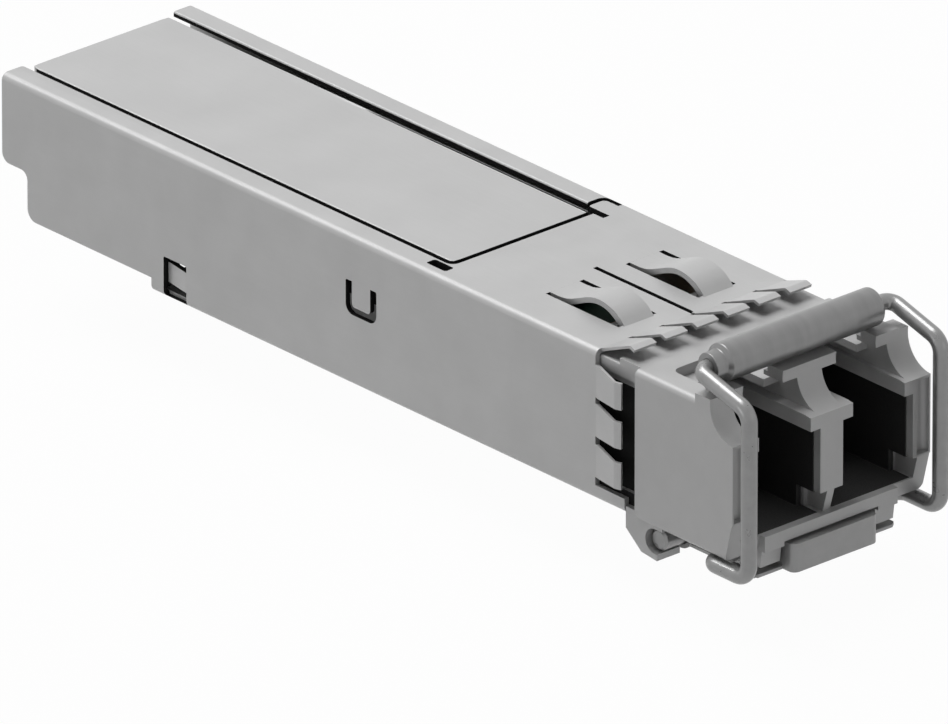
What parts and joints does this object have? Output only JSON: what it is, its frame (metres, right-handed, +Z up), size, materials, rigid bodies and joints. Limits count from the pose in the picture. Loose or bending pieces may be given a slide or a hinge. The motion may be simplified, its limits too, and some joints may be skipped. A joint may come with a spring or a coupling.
{
  "type": "sfp transceiver",
  "caption": "Small pluggable optical module: a long sheet-metal box with spring fingers, a cast nose with duplex fibre ports, a hinged wire bail and a latch lever underneath.",
  "frame": {"origin": "middle of the bounding box in plan, at the height of the lowest point, which is the foot of the latch ears", "axes": "-Y towards the fibre ports, +Y towards the card edge, +X to the right as seen from the ports, +Z up, away from the latch side"},
  "size_m": [0.0144, 0.0586, 0.0129],
  "materials": {
    "sheet_steel": "satin plated sheet",
    "cover_metal": "satin plated sheet",
    "cast_metal": "fine cast, nickel plated",
    "liner_plastic": "matt moulded black",
    "barrel_steel": "turned",
    "sleeve_ceramic": "ground",
    "header_gold": "gold plated",
    "flex_film": "polyimide film",
    "board_laminate": "solder mask",
    "chip_resin": "moulded resin",
    "passive_ceramic": "sintered",
    "absorber_rubber": "filled silicone",
    "bail_wire_steel": "bright drawn wire",
    "bail_sleeve_plastic": "smooth dark sleeve",
    "latch_steel": "plated",
    "spring_steel": "bright strip"
  },
  "bodies": {
    "module": {"shell": "sheet_steel", "top_cover": "cover_metal", "base_tray": "cast_metal", "port_housing": "cast_metal", "port_liner": "liner_plastic", "tx_barrel": "barrel_steel", "rx_barrel": "barrel_steel", "tx_ferrule_sleeve": "sleeve_ceramic", "rx_ferrule_sleeve": "sleeve_ceramic", "tx_header": "header_gold", "rx_header": "header_gold", "tx_flex": "flex_film", "rx_flex": "flex_film", "barrel_retainer": "cover_metal", "circuit_board": "board_laminate", "contact_pads": "header_gold", "driver_chip": "chip_resin", "receiver_chip": "chip_resin", "controller_chip": "chip_resin", "memory_chip": "chip_resin", "passives": "passive_ceramic", "absorber_pad": "absorber_rubber", "lever_pin": "bail_wire_steel", "lever_spring": "spring_steel"},
    "bail": {"bail_wire": "bail_wire_steel", "bail_sleeve": "bail_sleeve_plastic"},
    "latch": {"latch_lever": "latch_steel"}
  },
  "joints": [
    {"name": "bail_hinge", "type": "hinge", "parent": "module", "child": "bail", "pos_m": [0, -0.02586, 0.00135], "axis": [1, 0, 0], "range_deg": [0, 90]},
    {"name": "latch_hinge", "type": "hinge", "parent": "module", "child": "latch", "pos_m": [0, -0.02167, 0.00105], "axis": [1, 0, 0], "range_deg": [0, 4.5], "deforming": ["lever_spring"]}
  ],
  "couplings": [
    {"joint": "latch_hinge", "follows": "bail_hinge", "ratio": 0.05}
  ]
}
